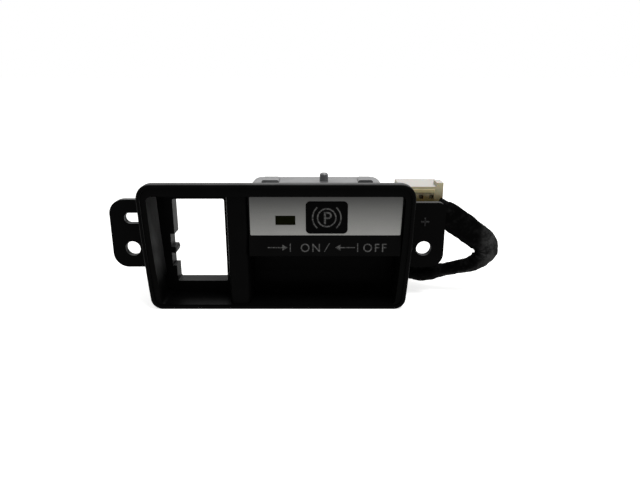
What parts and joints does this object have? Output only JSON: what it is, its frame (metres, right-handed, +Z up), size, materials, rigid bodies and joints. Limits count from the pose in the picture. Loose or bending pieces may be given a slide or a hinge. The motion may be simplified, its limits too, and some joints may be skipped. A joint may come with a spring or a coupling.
{
  "type": "electric parking brake switch",
  "caption": "Dashboard trim frame with screw ears, an empty switch seat and a sprung push and pull parking brake knob, with its wiring lead and plug.",
  "frame": {"origin": "midway between the two ear screw holes, on the front faces of the ears", "axes": "+X to the right as the driver sees it, +Y into the dashboard along the screws, +Z up"},
  "size_m": [0.1713, 0.0458, 0.055],
  "materials": {
    "frame_black": "fine grained moulding",
    "knob_black": "fine grained moulding",
    "silver_paint": "satin silver paint on plastic film",
    "smoked_lens": "dark smoked acrylic",
    "symbol_black": "satin black with light grey print",
    "steel": "bright zinc plated",
    "housing_black": "glass filled moulding",
    "board_green": "solder mask",
    "component_black": "moulded package",
    "led_white": "white package",
    "clear_acrylic": "polished clear moulding",
    "contact_metal": "phosphor bronze",
    "slider_white": "natural acetal",
    "spring_steel": "spring wire",
    "rubber_black": "moulded rubber",
    "tape_black": "black cloth tape wrap",
    "wire_jacket": "thin wall wire",
    "nylon_white": "natural nylon, slightly yellowed",
    "retainer_white": "natural nylon",
    "tinned_brass": "tin plated"
  },
  "bodies": {
    "frame": {"bezel": "frame_black", "hinge_pin": "steel", "switch_housing": "housing_black", "rear_cover": "housing_black", "circuit_board": "board_green", "indicator_led": "led_white", "symbol_led": "led_white", "indicator_light_pipe": "clear_acrylic", "symbol_light_pipe": "clear_acrylic", "contact_pads": "contact_metal", "board_components": "component_black", "upper_spring": "spring_steel", "lower_spring": "spring_steel", "housing_screws": "steel", "cover_screws": "steel", "grommet": "rubber_black", "harness": "tape_black", "connector_wires": "wire_jacket", "connector_housing": "nylon_white", "connector_retainer": "retainer_white", "connector_terminals": "tinned_brass"},
    "knob": {"knob": "knob_black", "trim_strip": "silver_paint", "indicator_lens": "smoked_lens", "symbol_plate": "symbol_black"},
    "slider": {"contact_slider": "slider_white", "contact_wipers": "contact_metal"}
  },
  "joints": [
    {"name": "knob_tilt", "type": "hinge", "parent": "frame", "child": "knob", "pos_m": [0.0205, -0.0085, 0.0228], "axis": [1, 0, 0], "range_deg": [-8, 6], "stiffness_Nm_per_rad": 0.8},
    {"name": "contact_slide", "type": "slide", "parent": "frame", "child": "slider", "axis": [0, 0, 1], "range_m": [-0.003, 0.0023], "deforming": ["upper_spring", "lower_spring"]}
  ],
  "couplings": [
    {"joint": "contact_slide", "follows": "knob_tilt", "m_per_rad": 0.021}
  ]
}
